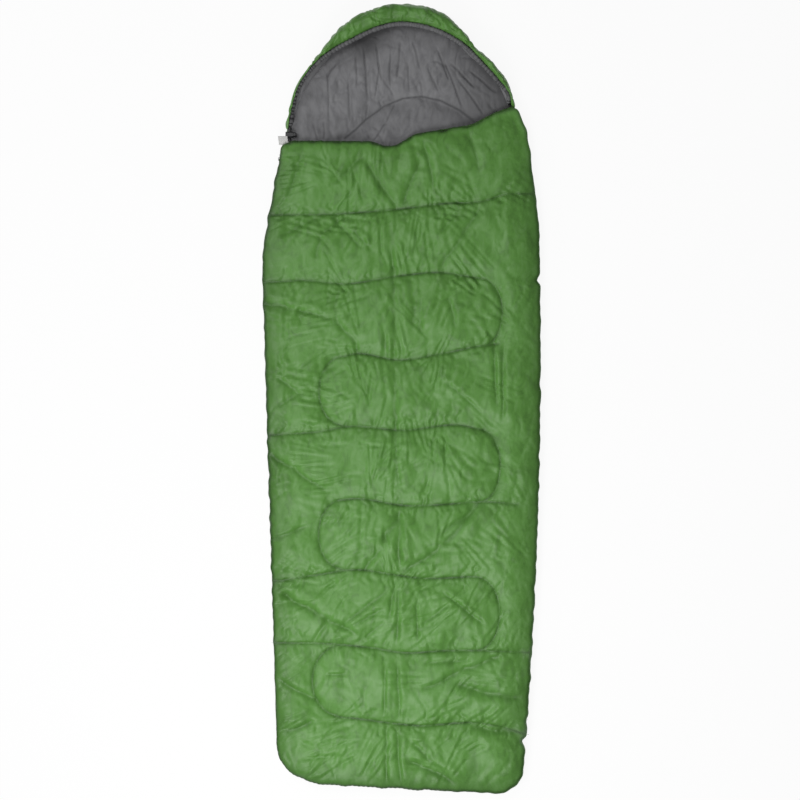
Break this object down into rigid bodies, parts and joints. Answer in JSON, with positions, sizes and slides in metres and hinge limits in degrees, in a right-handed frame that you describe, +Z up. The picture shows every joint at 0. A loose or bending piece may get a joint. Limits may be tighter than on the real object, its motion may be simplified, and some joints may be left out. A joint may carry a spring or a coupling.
{
  "type": "mummy sleeping bag",
  "caption": "Hooded sleeping bag laid flat: quilted cover over padding, grey lining, gathered face opening with drawcord, and a zip down one side and along the foot.",
  "frame": {"origin": "on the floor, under the middle of the laid-out bag", "axes": "+Y towards the head end, +X towards the sewn side, +Z up through the thickness"},
  "size_m": [0.7416, 2.0993, 0.097],
  "materials": {
    "shell_cloth": "green woven polyester, soft sheen",
    "lining_cloth": "grey woven polyester, matt",
    "filling": "white hollow-fibre wadding",
    "hem_cloth": "dark grey gathered polyester",
    "seam_cloth": "green seam allowance with overlock edge",
    "cord": "black braided cord",
    "lock_plastic": "black, moulded",
    "plunger_plastic": "black, moulded",
    "spring_steel": "spring wire",
    "zip_tape": "dark woven zip tape",
    "zip_coil": "nylon coil",
    "zip_metal": "dark lacquered die-cast zinc",
    "label_satin": "bare white satin tape"
  },
  "bodies": {
    "back_panel": {"back_shell": "shell_cloth", "back_fill": "filling", "back_lining": "lining_cloth", "hood_shell": "shell_cloth", "hood_fill": "filling", "hood_lining": "lining_cloth", "hood_hem": "hem_cloth", "hood_drawcord": "cord", "cord_knot": "cord", "zip_tape_back": "zip_tape", "zip_coil_back": "zip_coil", "zip_top_stop_back": "zip_metal", "zip_bottom_stop": "zip_metal", "side_seam_binding": "seam_cloth"},
    "front_panel": {"front_shell": "shell_cloth", "front_fill": "filling", "front_lining": "lining_cloth", "front_hem": "hem_cloth", "care_label": "label_satin", "zip_tape_front": "zip_tape", "zip_coil_front": "zip_coil", "zip_top_stop_front": "zip_metal"},
    "zip_slider": {"zip_slider": "zip_metal"},
    "zip_pull_outer": {"zip_pull_outer": "zip_metal"},
    "zip_pull_inner": {"zip_pull_inner": "zip_metal"},
    "foot_slider": {"foot_slider": "zip_metal"},
    "foot_pull": {"foot_pull": "zip_metal"},
    "cord_lock": {"cord_lock_barrel": "lock_plastic", "cord_lock_spring": "spring_steel"},
    "cord_lock_plunger": {"cord_lock_plunger": "plunger_plastic"}
  },
  "joints": [
    {"name": "front_opening", "type": "hinge", "parent": "back_panel", "child": "front_panel", "pos_m": [0.374, 0, 0.027], "axis": [0, 1, 0], "range_deg": [0, 180]},
    {"name": "zip_travel", "type": "slide", "parent": "back_panel", "child": "zip_slider", "axis": [0, -1, 0], "range_m": [0, 1.52], "deforming": ["zip_coil_back", "zip_coil_front"]},
    {"name": "outer_pull_swing", "type": "hinge", "parent": "zip_slider", "child": "zip_pull_outer", "pos_m": [-0.32485, 0.643, 0.027], "axis": [0, 0, -1], "range_deg": [0, 170]},
    {"name": "inner_pull_swing", "type": "hinge", "parent": "zip_slider", "child": "zip_pull_inner", "pos_m": [-0.31715, 0.643, 0.027], "axis": [0, 0, 1], "range_deg": [0, 170]},
    {"name": "foot_zip_travel", "type": "slide", "parent": "back_panel", "child": "foot_slider", "axis": [-0.9992, 0.0394, 0], "range_m": [0, 0.415], "deforming": ["zip_coil_back", "zip_coil_front"]},
    {"name": "foot_pull_swing", "type": "hinge", "parent": "foot_slider", "child": "foot_pull", "pos_m": [0.22785, -1.03351, 0.027], "axis": [0, 0, 1], "range_deg": [0, 170]},
    {"name": "cord_lock_slide", "type": "slide", "parent": "back_panel", "child": "cord_lock", "axis": [0, -1, 0], "range_m": [-0.002, 0.0105]},
    {"name": "plunger_press", "type": "slide", "parent": "cord_lock", "child": "cord_lock_plunger", "axis": [-1, 0, 0], "range_m": [0, 0.004], "stiffness_N_per_m": 400, "springref_m": -0.004, "deforming": ["cord_lock_spring"]}
  ]
}
